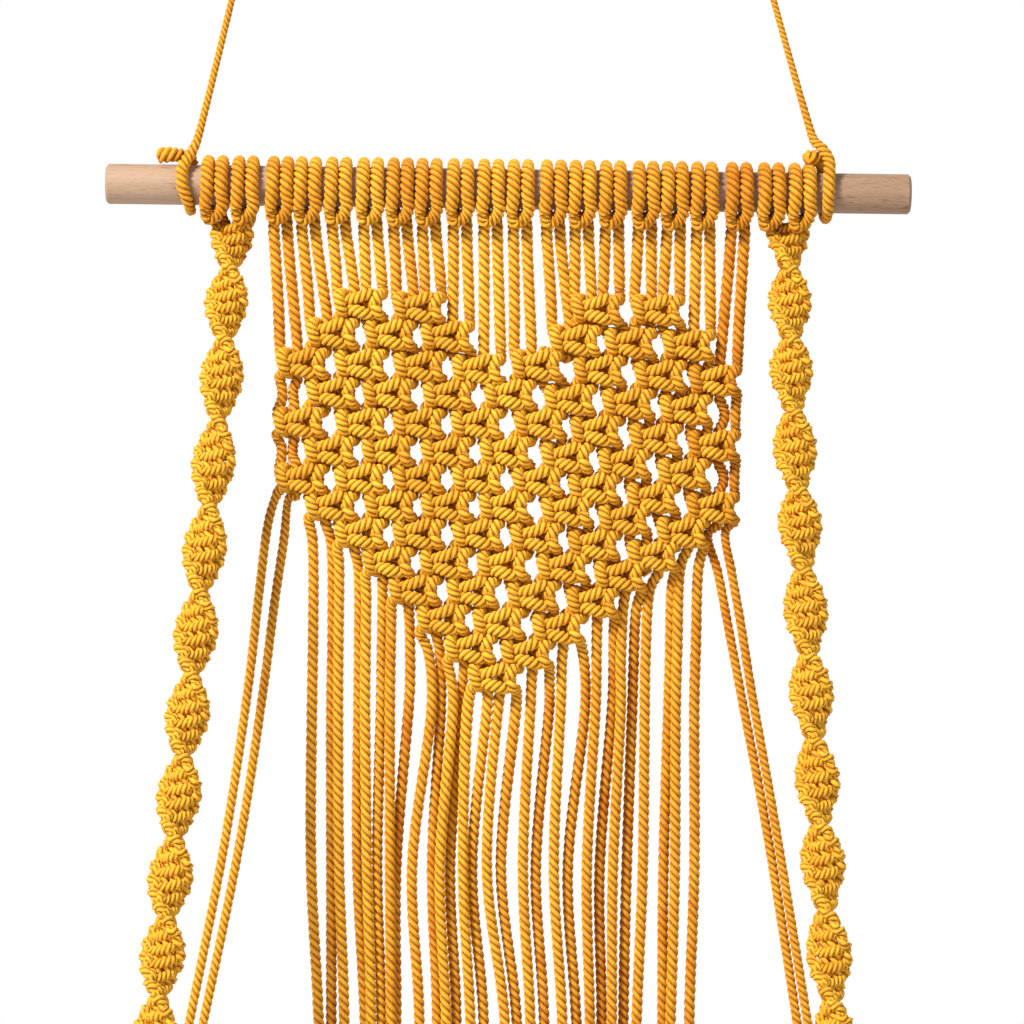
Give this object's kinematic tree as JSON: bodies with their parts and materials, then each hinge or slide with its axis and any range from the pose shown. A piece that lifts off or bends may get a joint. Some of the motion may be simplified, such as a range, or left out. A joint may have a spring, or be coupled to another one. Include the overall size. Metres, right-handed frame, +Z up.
{
  "type": "macrame wall shelf with dowel and board",
  "caption": "Hanging wall shelf: a wooden board carried by twisted knot columns and cords from a dowel, with a heart-shaped net of square knots and a long fringe behind.",
  "frame": {"origin": "top of the hanger cord, where it rests on its hook", "axes": "+X along the dowel, +Y towards the wall, +Z up"},
  "size_m": [0.4, 0.1695, 1.3117],
  "materials": {
    "cotton_cord": "three-ply twisted cotton, dyed mustard",
    "dowel_wood": "plain sanded beech",
    "board_wood": "oiled pine"
  },
  "bodies": {
    "root": {"dowel": "dowel_wood", "shelf_board": "board_wood", "heart_net": "cotton_cord", "rear_cords_left": "cotton_cord", "rear_cords_right": "cotton_cord", "knot_column_left": "cotton_cord", "knot_column_right": "cotton_cord", "hanger_cord": "cotton_cord"}
  },
  "joints": []
}
